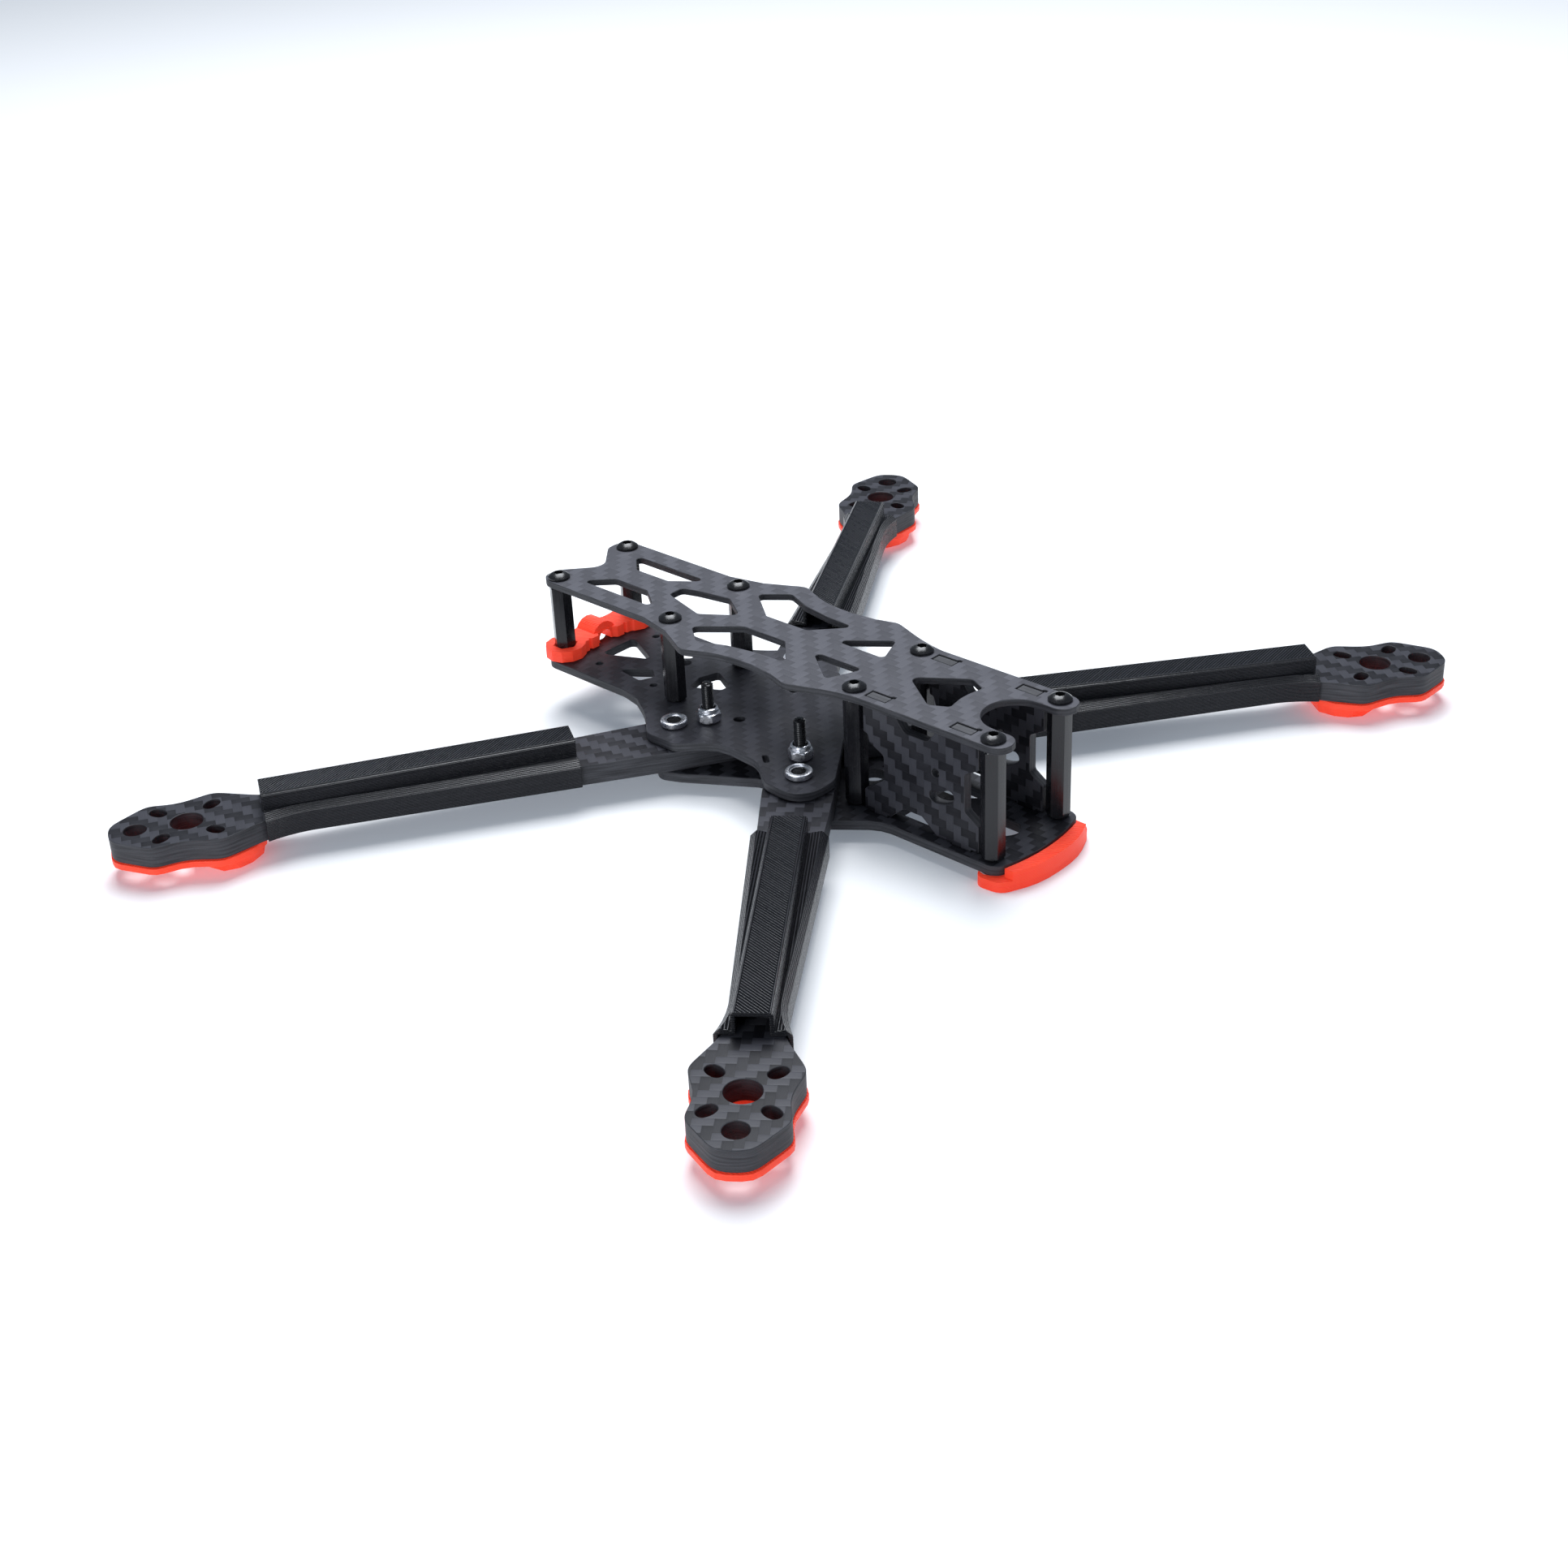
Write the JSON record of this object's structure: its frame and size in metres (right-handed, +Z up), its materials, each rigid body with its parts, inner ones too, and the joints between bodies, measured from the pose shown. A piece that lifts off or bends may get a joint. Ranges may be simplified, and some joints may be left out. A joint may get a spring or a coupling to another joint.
{
  "type": "fpv racing drone frame",
  "caption": "Carbon fibre quadcopter frame with stacked plates, upright camera cheeks, bolted arms, wire guards and red printed pads, bumper and antenna holder.",
  "frame": {"origin": "centre of the footprint's bounding box, at the lowest level", "axes": "+X towards the nose (camera end), +Y to the craft's left, +Z up"},
  "size_m": [0.1993, 0.2818, 0.0371],
  "materials": {
    "carbon": "satin twill weave",
    "black_anodised": "black anodised",
    "black_steel": "black oxide",
    "zinc": "bright zinc plated",
    "black_print": "flexible 3-D print with fine layer lines",
    "red_print": "flexible 3-D print with fine layer lines"
  },
  "bodies": {
    "frame": {"arm_front_left": "carbon", "arm_front_right": "carbon", "arm_rear_left": "carbon", "arm_rear_right": "carbon", "bottom_plate": "carbon", "clamp_screw_front_left": "black_steel", "clamp_screw_front_right": "black_steel", "clamp_screw_rear_left": "black_steel", "clamp_screw_rear_right": "black_steel", "lock_nut_front_left": "zinc", "lock_nut_front_right": "zinc", "lock_nut_rear_left": "zinc", "lock_nut_rear_right": "zinc", "lower_screw_left_1": "black_steel", "lower_screw_left_2": "black_steel", "lower_screw_left_3": "black_steel", "lower_screw_left_4": "black_steel", "lower_screw_right_1": "black_steel", "lower_screw_right_2": "black_steel", "lower_screw_right_3": "black_steel", "lower_screw_right_4": "black_steel", "middle_plate": "carbon", "motor_pad_front_left": "red_print", "motor_pad_front_right": "red_print", "motor_pad_rear_left": "red_print", "motor_pad_rear_right": "red_print", "nose_bumper": "red_print", "press_nut_front_left": "zinc", "press_nut_front_right": "zinc", "press_nut_rear_left": "zinc", "press_nut_rear_right": "zinc", "side_plate_left": "carbon", "side_plate_right": "carbon", "stack_screw_front_left": "black_steel", "stack_screw_front_right": "black_steel", "stack_screw_rear_left": "black_steel", "stack_screw_rear_right": "black_steel", "standoff_front_left_1": "black_anodised", "standoff_front_left_2": "black_anodised", "standoff_front_right_1": "black_anodised", "standoff_front_right_2": "black_anodised", "standoff_rear_left_1": "black_anodised", "standoff_rear_left_2": "black_anodised", "standoff_rear_right_1": "black_anodised", "standoff_rear_right_2": "black_anodised", "top_plate": "carbon", "top_screw_left_1": "black_steel", "top_screw_left_2": "black_steel", "top_screw_left_3": "black_steel", "top_screw_left_4": "black_steel", "top_screw_right_1": "black_steel", "top_screw_right_2": "black_steel", "top_screw_right_3": "black_steel", "top_screw_right_4": "black_steel"},
    "guard_front_right": {"arm_guard_front_right": "black_print"},
    "guard_front_left": {"arm_guard_front_left": "black_print"},
    "guard_rear_right": {"arm_guard_rear_right": "black_print"},
    "guard_rear_left": {"arm_guard_rear_left": "black_print"},
    "holder": {"antenna_holder": "red_print"}
  },
  "joints": [
    {"name": "guard_front_right_lift", "type": "slide", "parent": "frame", "child": "guard_front_right", "axis": [0, 0, 1], "range_m": [0, 0.012]},
    {"name": "guard_front_left_lift", "type": "slide", "parent": "frame", "child": "guard_front_left", "axis": [0, 0, 1], "range_m": [0, 0.012]},
    {"name": "guard_rear_right_lift", "type": "slide", "parent": "frame", "child": "guard_rear_right", "axis": [0, 0, 1], "range_m": [0, 0.012]},
    {"name": "guard_rear_left_lift", "type": "slide", "parent": "frame", "child": "guard_rear_left", "axis": [0, 0, 1], "range_m": [0, 0.012]},
    {"name": "holder_lift", "type": "slide", "parent": "frame", "child": "holder", "axis": [0, 0, 1], "range_m": [0, 0.0138]}
  ]
}
